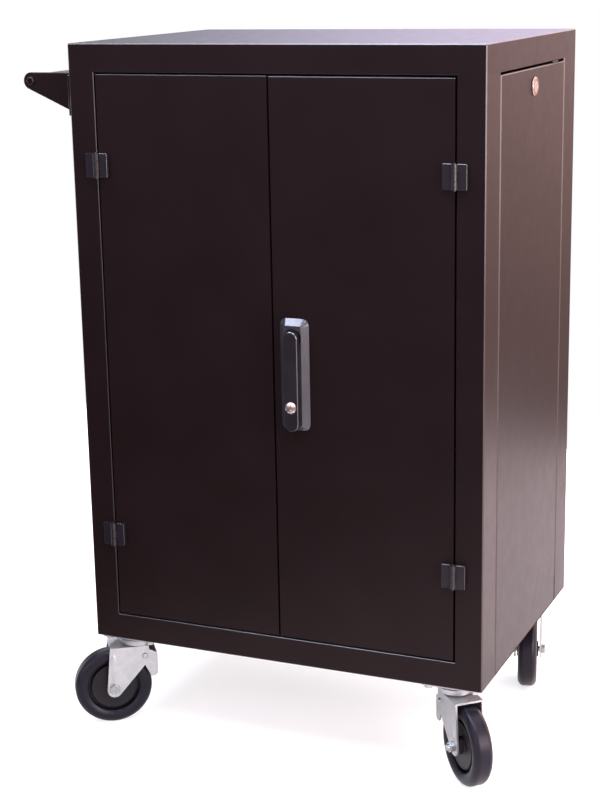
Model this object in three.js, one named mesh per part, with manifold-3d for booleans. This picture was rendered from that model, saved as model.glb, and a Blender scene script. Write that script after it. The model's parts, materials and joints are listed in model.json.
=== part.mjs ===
// Laptop charging cart: a folded-steel cabinet with two doors on four swivel casters.
// Frame: +Z up, front faces -Y, +X to the right of someone facing the doors, floor at z = 0.
import * as THREE from "three";
import { mergeVertices } from "three/addons/utils/BufferGeometryUtils.js";
import Module from "manifold-3d";

const wasm = await Module();
wasm.setup();

// Driving dimensions, in millimetres
const CABINET_WIDTH = 650;
const CABINET_DEPTH = 470;
const CABINET_HEIGHT = 940;
const UNDERSIDE = 150;
const SHEET = 1.5;
const SEAM = 0.25;
const RAIL = 42;
const POST_DEPTH = 65;
const FLANGE = 21.5;
const DOOR_GAP = 3;
const DOOR_DEPTH = 20;
const LIP = 12;
const PANEL_DEPTH = 18;
const PANEL_TOP_GAP = 4;

// Hinges: centre heights are measured from the edges of the door opening
const HINGE_INSET = 137;
const HINGE_SIZE = 36;
const HINGE_LEAF = 6;
const HINGE_AXIS_OUT = 7;
const KNUCKLE_RADIUS = 4.5;
const PIN_RADIUS = 2.25;

// Swing handle on the right door
const HANDLE_X = 35.5;
const HANDLE_CENTRE_Z = 612;
const HOUSING_WIDTH = 46;
const HOUSING_HEIGHT = 169;
const HOUSING_RISE = 10.5;
const HOUSING_SLOPE = 9.5;
const SPINDLE_Z = 669;
const LEVER_WIDTH = 22;
const LEVER_FRONT = 20.5;
const LEVER_PIN_OUT = 15.25;
const LEVER_LIFT = 40;
const TONGUE_RADIUS = 3.2;
const TONGUE_HALF = 4;
const RECESS_RADIUS = 13.5;
const RECESS_FLOOR = 3.5;
const LEVER_BOTTOM_Z = 529.5;
const PLUG_Z = 566;
const PLUG_DEPTH = 7;
const CAM_STUD_RADIUS = 18;
const ROD_OFFSET = 15.5;

// Side panels: locating tab at the rear of the top edge, and the lock on the removable one
const PANEL_TAB = [101, 133];
const PANEL_LOCK_Z = 1017;

// Push handle on the left side
const GRIP_OUT = 85;
const GRIP_Z = 1032;
const GRIP_RADIUS = 9.5;
const BRACKET_NOSE = 13;
const BRACKET_PLATE = 5;
const BRACKET_FOOT = 28;
const BRACKET_BASE_TOP = 1045;
const BRACKET_BASE_BOTTOM = 981;

// Laptop trays
const TRAY_HALF_WIDTH = 282;
const TRAY_FRONT = -208;
const TRAY_REAR = 118;
const LOWER_TRAY_Z = 194;
const UPPER_TRAY_Z = 622;
const SLOTS_PER_TRAY = 8;
const DIVIDER_HEIGHT = 200;
const DIVIDER_SHEET = 2;
const PARTITION_Y = 120;

// Casters
const KINGPIN_INSET_X = 52;
const KINGPIN_INSET_Y = 37;
const WHEEL_RADIUS = 62.5;
const WHEEL_WIDTH = 32;
const TRAIL = 42;
const FORK_GAP = 40;
const FORK_SHEET = 3;
const CASTER_TURN = { front_left: 216, front_right: -47, rear_left: 165, rear_right: -75 };

// Derived positions
const HALF_W = CABINET_WIDTH / 2;
const HALF_D = CABINET_DEPTH / 2;
const TOP = UNDERSIDE + CABINET_HEIGHT;
const OPEN_HALF = HALF_W - RAIL;
const OPEN_LOW = UNDERSIDE + RAIL;
const OPEN_HIGH = TOP - RAIL;
const PANEL_HALF = HALF_D - POST_DEPTH - DOOR_GAP;
const DOOR_LOW = OPEN_LOW + DOOR_GAP;
const DOOR_HIGH = OPEN_HIGH - DOOR_GAP;
const DOOR_OUTER = OPEN_HALF - DOOR_GAP;
const DOOR_INNER = DOOR_GAP / 2;
const DOOR_FACE = -HALF_D;
const HINGE_AXIS_X = OPEN_HALF - DOOR_GAP / 2;
const HINGE_AXIS_Y = DOOR_FACE - HINGE_AXIS_OUT;
const CAM_BACK = DOOR_FACE + 12;
const ROD_FRONT = CAM_BACK + 0.5;
const ROD_BACK = ROD_FRONT + 3;

// Materials
const paint = new THREE.MeshStandardMaterial({ color: 0x2a2123, roughness: 0.42, metalness: 0.1 });
const innerPaint = new THREE.MeshStandardMaterial({ color: 0x302a2b, roughness: 0.5, metalness: 0.1 });
const blackMetal = new THREE.MeshStandardMaterial({ color: 0x1b1a1c, roughness: 0.38, metalness: 0.3 });
const zinc = new THREE.MeshStandardMaterial({ color: 0xb9bcc0, roughness: 0.32, metalness: 0.9 });
const steel = new THREE.MeshStandardMaterial({ color: 0xa3a5a8, roughness: 0.35, metalness: 0.95 });
const chrome = new THREE.MeshStandardMaterial({ color: 0xc9c6bf, roughness: 0.18, metalness: 1 });
const rubber = new THREE.MeshStandardMaterial({ color: 0x35353a, roughness: 0.75, metalness: 0 });
const hubPlastic = new THREE.MeshStandardMaterial({ color: 0x4a4b50, roughness: 0.55, metalness: 0 });
const blackPlastic = new THREE.MeshStandardMaterial({ color: 0x17171a, roughness: 0.5, metalness: 0 });

// Solid helpers: shapes come from three.js, booleans from manifold
function solid(geometry) {
  const bare = geometry.clone();
  for (const name of Object.keys(bare.attributes)) {
    if (name !== "position") bare.deleteAttribute(name);
  }
  const merged = mergeVertices(bare, 1e-3);
  return new wasm.Manifold(
    new wasm.Mesh({
      numProp: 3,
      vertProperties: new Float32Array(merged.attributes.position.array),
      triVerts: new Uint32Array(merged.index.array),
    }),
  );
}

function geometryOf(manifold) {
  const mesh = manifold.getMesh();
  const geometry = new THREE.BufferGeometry();
  const points = [];
  for (let i = 0; i < mesh.vertProperties.length; i += mesh.numProp) {
    points.push(mesh.vertProperties[i], mesh.vertProperties[i + 1], mesh.vertProperties[i + 2]);
  }
  geometry.setAttribute("position", new THREE.Float32BufferAttribute(points, 3));
  geometry.setIndex(Array.from(mesh.triVerts));
  geometry.computeVertexNormals();
  return geometry;
}

function join(first, ...rest) {
  let whole = solid(first);
  for (const piece of rest) whole = whole.add(solid(piece));
  return geometryOf(whole);
}

function cut(first, ...rest) {
  let whole = solid(first);
  for (const piece of rest) whole = whole.subtract(solid(piece));
  return geometryOf(whole);
}

function block(x0, x1, y0, y1, z0, z1) {
  const geometry = new THREE.BoxGeometry(x1 - x0, y1 - y0, z1 - z0);
  return geometry.translate((x0 + x1) / 2, (y0 + y1) / 2, (z0 + z1) / 2);
}

// Cylinder along X, Y or Z between two stations on that axis
function rod(axis, radius, from, to, u, v, segments = 20) {
  const geometry = new THREE.CylinderGeometry(radius, radius, to - from, segments);
  const middle = (from + to) / 2;
  if (axis === "x") return geometry.rotateZ(-Math.PI / 2).translate(middle, u, v);
  if (axis === "y") return geometry.translate(u, middle, v);
  return geometry.rotateX(Math.PI / 2).translate(u, v, middle);
}

function hexagon(axis, acrossFlats, from, to, u, v) {
  return rod(axis, acrossFlats / Math.sqrt(3), from, to, u, v, 6);
}

// Lathe about an axis along X, Y or Z; profile is a list of [radius, station]
function turned(axis, profile, segments, u, v) {
  const points = profile.map(([radius, station]) => new THREE.Vector2(radius, station));
  const geometry = new THREE.LatheGeometry(points, segments);
  if (axis === "x") return geometry.rotateZ(-Math.PI / 2).translate(0, u, v);
  if (axis === "y") return geometry.translate(u, 0, v);
  return geometry.rotateX(Math.PI / 2).translate(u, v, 0);
}

function outline(points) {
  const shape = new THREE.Shape();
  shape.moveTo(...points[0]);
  for (const point of points.slice(1)) shape.lineTo(...point);
  shape.closePath();
  return shape;
}

function roundedOutline(x0, x1, y0, y1, radius, steps = 4) {
  const points = [];
  const corners = [
    [x1 - radius, y0 + radius, -90],
    [x1 - radius, y1 - radius, 0],
    [x0 + radius, y1 - radius, 90],
    [x0 + radius, y0 + radius, 180],
  ];
  for (const [cx, cy, start] of corners) {
    for (let i = 0; i <= steps; i += 1) {
      const angle = THREE.MathUtils.degToRad(start + (90 * i) / steps);
      points.push([cx + radius * Math.cos(angle), cy + radius * Math.sin(angle)]);
    }
  }
  return outline(points);
}

// Shape drawn in (x, z), extruded along Y from the station "rear" towards the front by "depth"
function frontPlate(shape, rear, depth) {
  const geometry = new THREE.ExtrudeGeometry(shape, { depth, bevelEnabled: false });
  return geometry.rotateX(Math.PI / 2).translate(0, rear, 0);
}

// Shape drawn in (y, z), extruded along X from the station "left" by "depth"
function sidePlate(shape, left, depth) {
  const geometry = new THREE.ExtrudeGeometry(shape, { depth, bevelEnabled: false });
  return geometry.rotateY(Math.PI / 2).rotateX(Math.PI / 2).translate(left, 0, 0);
}

// Shape drawn in (x, y), extruded up from the station "low" by "height"
function floorPlate(shape, low, height) {
  return new THREE.ExtrudeGeometry(shape, { depth: height, bevelEnabled: false }).translate(0, 0, low);
}

function arc(cx, cy, radius, from, to, steps) {
  const points = [];
  for (let i = 0; i <= steps; i += 1) {
    const angle = THREE.MathUtils.degToRad(from + ((to - from) * i) / steps);
    points.push([cx + radius * Math.cos(angle), cy + radius * Math.sin(angle)]);
  }
  return points;
}

function place(parent, name, geometry, material) {
  const mesh = new THREE.Mesh(geometry, material);
  mesh.name = name;
  parent.add(mesh);
}

// Keeper holes in the rails' flanges: two for the latch rods, one for the left door's bolt
const LEFT_BOLT_X = -40;
const BOLT_FOOT_Z = 960;
const BOLT_KNOB_Z = 991;
const BOLT_GUIDES = [[968, 980], [1016, 1028]];
const UPPER_GUIDE_Z = 860;
const LOWER_GUIDE_Z = 400;
const BOLT_Y = DOOR_FACE + 10;
const UPPER_ROD_X = HANDLE_X - ROD_OFFSET;
const LOWER_ROD_X = HANDLE_X + ROD_OFFSET;

// Top cover: one folded pan, its skirts forming the top rails on all four sides
function topCover() {
  return cut(
    block(-HALF_W, HALF_W, -HALF_D, HALF_D, OPEN_HIGH, TOP),
    block(-HALF_W + SHEET, HALF_W - SHEET, -HALF_D + SHEET, HALF_D - SHEET, OPEN_HIGH + SHEET, TOP - SHEET),
    block(-HALF_W + FLANGE, HALF_W - FLANGE, -HALF_D + FLANGE, HALF_D - FLANGE, OPEN_HIGH - 1, OPEN_HIGH + 3),
    block(UPPER_ROD_X - 8, UPPER_ROD_X + 8, ROD_FRONT - 2, ROD_BACK + 2, OPEN_HIGH - 1, OPEN_HIGH + 3),
    rod("z", 6, OPEN_HIGH - 1, OPEN_HIGH + 3, LEFT_BOLT_X, BOLT_Y, 16),
  );
}

// Base pan: bottom plate with upturned walls, set in along the sides so that the side panels reach the bottom
function basePan() {
  const floor = UNDERSIDE + SHEET;
  const notch = HALF_W - PANEL_DEPTH - 2;
  const postInner = HALF_D - POST_DEPTH;
  const inner = notch - SHEET;
  return cut(
    block(-HALF_W, HALF_W, -HALF_D, HALF_D, UNDERSIDE, OPEN_LOW),
    block(notch, HALF_W + 1, -postInner, postInner, floor, OPEN_LOW + 1),
    block(-HALF_W - 1, -notch, -postInner, postInner, floor, OPEN_LOW + 1),
    block(-inner, inner, -HALF_D + SHEET, HALF_D - SHEET, floor, OPEN_LOW - SHEET),
    block(-HALF_W + SHEET, HALF_W - SHEET, -HALF_D + SHEET, -postInner - SHEET, floor, OPEN_LOW - SHEET),
    block(-HALF_W + SHEET, HALF_W - SHEET, postInner + SHEET, HALF_D - SHEET, floor, OPEN_LOW - SHEET),
    block(-OPEN_HALF, OPEN_HALF, -HALF_D + FLANGE, HALF_D - FLANGE, OPEN_LOW - 3, OPEN_LOW + 1),
    block(LOWER_ROD_X - 8, LOWER_ROD_X + 8, ROD_FRONT - 2, ROD_BACK + 2, OPEN_LOW - 3, OPEN_LOW + 1),
  );
}

// Corner post: rectangular box section between the base pan and the top cover
function cornerPost(sideX, sideY) {
  const x0 = Math.min(sideX * HALF_W, sideX * OPEN_HALF);
  const y0 = Math.min(sideY * HALF_D, sideY * (HALF_D - POST_DEPTH));
  const z0 = OPEN_LOW + SEAM;
  const z1 = OPEN_HIGH - SEAM;
  return cut(
    block(x0, x0 + RAIL, y0, y0 + POST_DEPTH, z0, z1),
    block(x0 + SHEET, x0 + RAIL - SHEET, y0 + SHEET, y0 + POST_DEPTH - SHEET, z0 - 1, z1 + 1),
  );
}

// Back panel: folded pan between the rear posts, with four banks of vent slots and the inlet cut-out
const INLET_X = -190;
const INLET_Z = 262;
const BACK_DEPTH = 14;
const VENT_X = 135;
const VENT_ROWS = [430, 860];
const VENT_HALF = 70;
const VENT_COUNT = 6;
const VENT_PITCH = 18;
const VENT_SLOT = 5;
function backPanel() {
  const half = OPEN_HALF - SEAM;
  const z0 = OPEN_LOW + SEAM;
  const z1 = OPEN_HIGH - SEAM;
  const front = HALF_D - BACK_DEPTH;
  const cuts = [block(-half + SHEET, half - SHEET, front - 1, HALF_D - SHEET, z0 + SHEET, z1 - SHEET)];
  for (const x of [-VENT_X, VENT_X]) {
    for (const z of VENT_ROWS) {
      for (let i = 0; i < VENT_COUNT; i += 1) {
        const low = z + i * VENT_PITCH;
        cuts.push(block(x - VENT_HALF, x + VENT_HALF, HALF_D - 5, HALF_D + 1, low, low + VENT_SLOT));
      }
    }
  }
  cuts.push(block(INLET_X - 24, INLET_X + 24, HALF_D - 5, HALF_D + 1, INLET_Z - 14, INLET_Z + 14));
  return cut(block(-half, half, front, HALF_D, z0, z1), ...cuts);
}

// Side panel: folded pan between the posts of one side, open towards the inside
function sidePanel(side) {
  const outer = side * HALF_W;
  const inner = side * (HALF_W - PANEL_DEPTH);
  const x0 = Math.min(outer, inner);
  const z0 = UNDERSIDE + SHEET + 0.5;
  const z1 = OPEN_HIGH - PANEL_TOP_GAP;
  const hollow = side > 0 ? [x0 - 1, x0 + PANEL_DEPTH - SHEET] : [x0 + SHEET, x0 + PANEL_DEPTH + 1];
  const pan = cut(
    block(x0, x0 + PANEL_DEPTH, -PANEL_HALF, PANEL_HALF, z0, z1),
    block(hollow[0], hollow[1], -PANEL_HALF + SHEET, PANEL_HALF - SHEET, z0 + SHEET, z1 - SHEET),
  );
  const face = side > 0 ? HALF_W - 3 : -HALF_W + 0.5;
  const [front, rear] = PANEL_TAB;
  return join(pan, block(face, face + 2.5, front, rear, z1 - 1, z1 + PANEL_TOP_GAP - 0.5));
}

// Doors: folded pans with an inner lip all round
function doorPan(x0, x1) {
  const back = DOOR_FACE + DOOR_DEPTH;
  return [
    block(x0, x1, DOOR_FACE, back, DOOR_LOW, DOOR_HIGH),
    block(x0 + SHEET, x1 - SHEET, DOOR_FACE + SHEET, back - SHEET, DOOR_LOW + SHEET, DOOR_HIGH - SHEET),
    block(x0 + LIP, x1 - LIP, back - 3, back + 1, DOOR_LOW + LIP, DOOR_HIGH - LIP),
  ];
}

function leftDoor() {
  const skin = DOOR_FACE + SHEET;
  const pan = cut(
    ...doorPan(-DOOR_OUTER, -DOOR_INNER),
    rod("z", 4.75, DOOR_HIGH - 4, DOOR_HIGH + 1, LEFT_BOLT_X, BOLT_Y, 16),
  );
  const guides = BOLT_GUIDES.map(([z0, z1]) => cut(
    block(LEFT_BOLT_X - 9, LEFT_BOLT_X + 9, skin - 0.5, BOLT_Y + 6, z0, z1),
    rod("z", 4.4, z0 - 1, z1 + 1, LEFT_BOLT_X, BOLT_Y, 16),
  ));
  return join(pan, ...guides);
}

// Clearance for a latch rod through a fold or a guide
function rodSlot(x, z0, z1) {
  return block(x - 6.5, x + 6.5, ROD_FRONT - 0.5, ROD_BACK + 0.5, z0, z1);
}

function rightDoor() {
  const skin = DOOR_FACE + SHEET;
  const pan = cut(
    ...doorPan(DOOR_INNER, DOOR_OUTER),
    rod("y", 7.5, DOOR_FACE - 1, skin + 1, HANDLE_X, SPINDLE_Z),
    rodSlot(UPPER_ROD_X, DOOR_HIGH - 4, DOOR_HIGH + 1),
    rodSlot(LOWER_ROD_X, DOOR_LOW - 1, DOOR_LOW + 4),
  );
  const guides = [[UPPER_ROD_X, UPPER_GUIDE_Z], [LOWER_ROD_X, LOWER_GUIDE_Z]].map(([x, z]) => cut(
    block(x - 10, x + 10, skin - 0.5, ROD_BACK + 2, z, z + 14),
    rodSlot(x, z - 1, z + 15),
  ));
  return join(pan, ...guides);
}

// Barrel bolt on the inside of the left door
function leftDoorBolt() {
  return join(
    rod("z", 4, BOLT_FOOT_Z, DOOR_HIGH - 0.5, LEFT_BOLT_X, BOLT_Y, 16),
    rod("y", 3.5, BOLT_Y, BOLT_Y + 14, LEFT_BOLT_X, BOLT_KNOB_Z, 12),
  );
}

// Butt hinge: the frame leaf carries two knuckles and the staked pin, the door leaf the middle knuckle
function hingeLeaf(side, onDoor, z) {
  const axisX = side * HINGE_AXIS_X;
  const reach = HINGE_SIZE / 2;
  const toward = onDoor ? -side : side;
  const x0 = toward > 0 ? axisX + 0.5 : axisX - reach;
  const x1 = toward > 0 ? axisX + reach : axisX - 0.5;
  const low = z - HINGE_SIZE / 2;
  const high = z + HINGE_SIZE / 2;
  const third = HINGE_SIZE / 3;
  const face = DOOR_FACE - SEAM;
  const leaf = frontPlate(roundedOutline(x0, x1, low, high, 1, 1), face, HINGE_LEAF);
  const barrel = rod("z", KNUCKLE_RADIUS, low, high, axisX, HINGE_AXIS_Y, 14);
  const clear = KNUCKLE_RADIUS + 0.5;
  const boxX = [axisX - clear, axisX + clear];
  const boxY = [HINGE_AXIS_Y - clear, DOOR_FACE + 1];
  if (onDoor) {
    return cut(
      join(leaf, rod("z", KNUCKLE_RADIUS, low + third, high - third, axisX, HINGE_AXIS_Y, 14)),
      block(...boxX, ...boxY, low - 1, low + third + SEAM),
      block(...boxX, ...boxY, high - third - SEAM, high + 1),
      rod("z", PIN_RADIUS + SEAM, low - 1, high + 1, axisX, HINGE_AXIS_Y, 12),
    );
  }
  const knuckles = cut(
    join(leaf, barrel),
    block(...boxX, ...boxY, low + third - SEAM, high - third + SEAM),
  );
  return join(knuckles, rod("z", PIN_RADIUS, low - 1.5, high + 1.5, axisX, HINGE_AXIS_Y, 12));
}

// Swing handle: sloped housing on the door's face, with a round recess for the lever's upper end
function handleHousing() {
  const half = HOUSING_WIDTH / 2 - HOUSING_SLOPE;
  const halfHigh = HOUSING_HEIGHT / 2 - HOUSING_SLOPE;
  const land = roundedOutline(
    HANDLE_X - half, HANDLE_X + half, HANDLE_CENTRE_Z - halfHigh, HANDLE_CENTRE_Z + halfHigh, 2, 2,
  );
  const frustum = new THREE.ExtrudeGeometry(land, {
    depth: 1,
    bevelEnabled: true,
    bevelThickness: HOUSING_RISE - 2,
    bevelSize: HOUSING_SLOPE,
    bevelSegments: 1,
  });
  frustum.rotateX(Math.PI / 2).translate(0, DOOR_FACE - 1, 0);
  return cut(
    frustum,
    block(HANDLE_X - 40, HANDLE_X + 40, DOOR_FACE - SEAM, DOOR_FACE + 40, 400, 800),
    rod("y", RECESS_RADIUS, DOOR_FACE - 40, DOOR_FACE - RECESS_FLOOR, HANDLE_X, SPINDLE_Z, 28),
    rod("y", 7.25, DOOR_FACE - 40, DOOR_FACE + 1, HANDLE_X, SPINDLE_Z),
  );
}

// Spindle: shaft through the door, with a flat tongue and cross pin that carry the lever
function handleSpindle() {
  const shoulder = DOOR_FACE - RECESS_FLOOR - 0.5;
  const pinY = DOOR_FACE - LEVER_PIN_OUT;
  const tongue = outline([
    ...arc(pinY, SPINDLE_Z, TONGUE_RADIUS, 90, 270, 8),
    [shoulder + 1, SPINDLE_Z - TONGUE_RADIUS],
    [shoulder + 1, SPINDLE_Z + TONGUE_RADIUS],
  ]);
  return join(
    rod("y", 7, shoulder, CAM_BACK - 3.5, HANDLE_X, SPINDLE_Z),
    rod("y", 4, CAM_BACK - 4, CAM_BACK, HANDLE_X, SPINDLE_Z, 12),
    sidePlate(tongue, HANDLE_X - TONGUE_HALF, 2 * TONGUE_HALF),
    rod("x", 2, HANDLE_X - 9, HANDLE_X + 9, pinY, SPINDLE_Z, 12),
  );
}

// Lever: bar with round ends, hollowed behind its upper end for the spindle's tongue
function handleLever() {
  const half = LEVER_WIDTH / 2;
  const bar = outline([
    ...arc(HANDLE_X, SPINDLE_Z, half, 0, 180, 14),
    ...arc(HANDLE_X, LEVER_BOTTOM_Z + half, half, 180, 360, 14),
  ]);
  const back = DOOR_FACE - HOUSING_RISE - 0.75;
  const front = DOOR_FACE - LEVER_FRONT;
  const pinY = DOOR_FACE - LEVER_PIN_OUT;
  const clear = TONGUE_RADIUS + 0.5;
  const lift = THREE.MathUtils.degToRad(LEVER_LIFT);
  const tangent = [-clear * Math.sin(lift), clear * Math.cos(lift)];
  const reach = (back + 1 - pinY - tangent[0]) / Math.cos(lift);
  const pocket = outline([
    ...arc(pinY, SPINDLE_Z, clear, 90 + LEVER_LIFT, 270, 8),
    [back + 1, SPINDLE_Z - clear],
    [back + 1, SPINDLE_Z + tangent[1] + reach * Math.sin(lift)],
  ]);
  return cut(
    frontPlate(bar, back, back - front),
    sidePlate(pocket, HANDLE_X - TONGUE_HALF - 0.5, 2 * TONGUE_HALF + 1),
    rod("x", 2.3, HANDLE_X - 9.5, HANDLE_X + 9.5, pinY, SPINDLE_Z, 12),
    rod("y", 8.25, front - 1, front + PLUG_DEPTH + 0.5, HANDLE_X, PLUG_Z, 24),
  );
}

function lockPlug() {
  const front = DOOR_FACE - LEVER_FRONT - 1;
  return cut(
    rod("y", 8, front, DOOR_FACE - LEVER_FRONT + PLUG_DEPTH, HANDLE_X, PLUG_Z, 24),
    block(HANDLE_X - 0.75, HANDLE_X + 0.75, front - 1, front + 4, PLUG_Z - 4.5, PLUG_Z + 4.5),
  );
}

// Latch cam behind the door: a disc with one stud for each rod
const STUD = CAM_STUD_RADIUS * Math.SQRT1_2;
function latchCam() {
  return cut(
    join(
      rod("y", 24, CAM_BACK - 3, CAM_BACK, HANDLE_X, SPINDLE_Z, 24),
      rod("y", 3, CAM_BACK - 1, ROD_BACK + 1.5, HANDLE_X - STUD, SPINDLE_Z + STUD, 12),
      rod("y", 3, CAM_BACK - 1, ROD_BACK + 1.5, HANDLE_X + STUD, SPINDLE_Z - STUD, 12),
    ),
    rod("y", 4.25, CAM_BACK - 4, CAM_BACK + 1, HANDLE_X, SPINDLE_Z, 12),
  );
}

// Latch rod: flat bar with a slotted yoke that rides on its stud
function latchRod(x, studZ, tipZ) {
  const up = tipZ > studZ;
  const bar = up ? [studZ + 6, tipZ] : [tipZ, studZ - 6];
  return cut(
    join(
      block(x - 11, x + 11, ROD_FRONT, ROD_BACK, studZ - 9, studZ + 9),
      block(x - 6, x + 6, ROD_FRONT, ROD_BACK, bar[0], bar[1]),
    ),
    block(x - 6.75, x + 6.75, ROD_FRONT - 1, ROD_BACK + 1, studZ - 3.8, studZ + 3.8),
  );
}

// Round key lock of the side panel, and its plug with the cam on the inner end
function panelLockBody() {
  return turned("x", [
    [7.75, HALF_W - 21],
    [10, HALF_W - 21],
    [10, HALF_W + SEAM],
    [14, HALF_W + SEAM],
    [14, HALF_W + 1.5],
    [12, HALF_W + 3],
    [7.75, HALF_W + 3],
    [7.75, HALF_W - 21],
  ], 24, 0, PANEL_LOCK_Z);
}

function panelLockCam() {
  const shape = outline([
    ...arc(0, PANEL_LOCK_Z, 8, 90, 270, 8),
    [30, PANEL_LOCK_Z - 6],
    [34, PANEL_LOCK_Z - 3],
    [34, PANEL_LOCK_Z + 3],
    [30, PANEL_LOCK_Z + 6],
  ]);
  return cut(
    join(
      rod("x", 7.5, HALF_W - 22, HALF_W + 2.5, 0, PANEL_LOCK_Z, 20),
      sidePlate(shape, HALF_W - 24.5, 2.75),
    ),
    block(HALF_W - 2, HALF_W + 4, -0.75, 0.75, PANEL_LOCK_Z - 4, PANEL_LOCK_Z + 4),
  );
}

// Push handle: two tapered plates bolted to the left posts with a tube between their noses
const GRIP_X = -HALF_W - GRIP_OUT;
const BRACKET_Y = HALF_D - POST_DEPTH / 2;
function handleBracket(sideY) {
  const side = -HALF_W - SEAM;
  const low = [GRIP_X - side, GRIP_Z - BRACKET_BASE_BOTTOM];
  const lean = Math.atan2(low[1], -low[0]);
  const tilt = THREE.MathUtils.radToDeg(lean);
  const shape = outline([
    [side, BRACKET_BASE_TOP],
    ...arc(GRIP_X, GRIP_Z, BRACKET_NOSE, 90, 270 - tilt, 10),
    [side, BRACKET_BASE_BOTTOM],
  ]);
  const y = sideY * BRACKET_Y;
  const plate = frontPlate(shape, y + BRACKET_PLATE / 2, BRACKET_PLATE);
  const footEnd = y + sideY * BRACKET_FOOT;
  const y0 = Math.min(y, footEnd);
  const y1 = Math.max(y, footEnd);
  const foot = block(side - BRACKET_PLATE, side, y0, y1, BRACKET_BASE_BOTTOM + 2, BRACKET_BASE_TOP - 2);
  const screwIn = y + sideY * (BRACKET_PLATE / 2 - 0.5);
  const screwOut = y + sideY * (BRACKET_PLATE / 2 + 3);
  const screw = rod("y", 6.5, Math.min(screwIn, screwOut), Math.max(screwIn, screwOut), GRIP_X, GRIP_Z, 16);
  const boltY = y + sideY * BRACKET_FOOT * 0.6;
  const bolts = [BRACKET_BASE_BOTTOM + 17, BRACKET_BASE_TOP - 17].map((z) => {
    return hexagon("x", 10, side - BRACKET_PLATE - 4, side - BRACKET_PLATE + 0.5, boltY, z);
  });
  return join(plate, foot, screw, ...bolts);
}

function gripTube() {
  const end = BRACKET_Y - BRACKET_PLATE / 2 - SEAM;
  return rod("y", GRIP_RADIUS, -end, end, GRIP_X, GRIP_Z, 28);
}

// Laptop tray: folded shelf with upright dividers
function laptopTray(top, lipDrop) {
  const under = top - SHEET;
  const half = TRAY_HALF_WIDTH;
  const shelf = cut(
    block(-half, half, TRAY_FRONT, TRAY_REAR, top - lipDrop, top),
    block(-half + SHEET, half - SHEET, TRAY_FRONT + SHEET, TRAY_REAR - SHEET, top - lipDrop - 1, under),
  );
  const pitch = (2 * half) / SLOTS_PER_TRAY;
  const shape = outline([
    [TRAY_FRONT + 12, top - 1],
    [TRAY_REAR - 8, top - 1],
    [TRAY_REAR - 8, top + DIVIDER_HEIGHT],
    ...arc(TRAY_FRONT + 92, top + DIVIDER_HEIGHT - 80, 80, 90, 180, 6),
  ].reverse());
  const dividers = [];
  for (let i = 1; i < SLOTS_PER_TRAY; i += 1) {
    dividers.push(sidePlate(shape, -half + i * pitch - DIVIDER_SHEET / 2, DIVIDER_SHEET));
  }
  return join(shelf, ...dividers);
}

// Partition between the laptops and the power bay, with a cable slot near the top of each bay
function partition() {
  return cut(
    block(
      -TRAY_HALF_WIDTH, TRAY_HALF_WIDTH, PARTITION_Y, PARTITION_Y + SHEET,
      UNDERSIDE + SHEET + SEAM, TOP - SHEET - SEAM,
    ),
    block(-240, 240, PARTITION_Y - 1, PARTITION_Y + 3, 500, 560),
    block(-240, 240, PARTITION_Y - 1, PARTITION_Y + 3, 940, 1000),
  );
}

// Power strip on the inside of the back panel
function powerStrip() {
  const back = HALF_D - SHEET - SEAM;
  const body = floorPlate(roundedOutline(-26, 26, back - 38, back, 4, 2), 330, 600);
  const feet = block(-18, 18, back - 3, back, 312, 948);
  return join(body, feet);
}

// Power inlet on the back: flanged module with a plug recess and a window for the rocker
function powerInlet() {
  const face = HALF_D + SEAM;
  return cut(
    join(
      block(INLET_X - 30, INLET_X + 30, face, face + 2.5, INLET_Z - 18, INLET_Z + 18),
      block(INLET_X - 23, INLET_X + 23, face - 28, face + 0.5, INLET_Z - 13, INLET_Z + 13),
    ),
    block(INLET_X - 20, INLET_X + 5, face - 17, face + 4, INLET_Z - 9, INLET_Z + 9),
    block(INLET_X + 8.5, INLET_X + 20.5, face - 8, face + 4, INLET_Z - 10.5, INLET_Z + 10.5),
  );
}

function powerSwitch() {
  const x = INLET_X + 14.5;
  const y = HALF_D + 1;
  const shape = outline([
    [y - 3, INLET_Z - 7],
    [y + 2.5, INLET_Z - 8.5],
    [y + 3.5, INLET_Z],
    [y + 6, INLET_Z + 8.5],
    [y - 3, INLET_Z + 7],
  ]);
  return sidePlate(shape, x - 5, 10);
}

// Caster plate: bolted plate, upper race, kingpin with its nut, and four bolt heads
function casterPlate(x, y) {
  const top = UNDERSIDE - SEAM;
  const bolts = [];
  for (const dx of [-36, 36]) {
    for (const dy of [-22, 22]) {
      bolts.push(hexagon("z", 12, top - 8.5, top - 2.5, x + dx, y + dy));
    }
  }
  const race = [[0, top - 11.5], [29, top - 11.5], [29, top - 7], [22, top - 3], [0, top - 3]];
  return join(
    floorPlate(roundedOutline(x - 46, x + 46, y - 32, y + 32, 5, 3), top - 3, 3),
    turned("z", race, 20, x, y),
    rod("z", 6, 121, top - 10, x, y, 16),
    hexagon("z", 15, 120.5, 128.5, x, y),
    ...bolts,
  );
}

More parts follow.
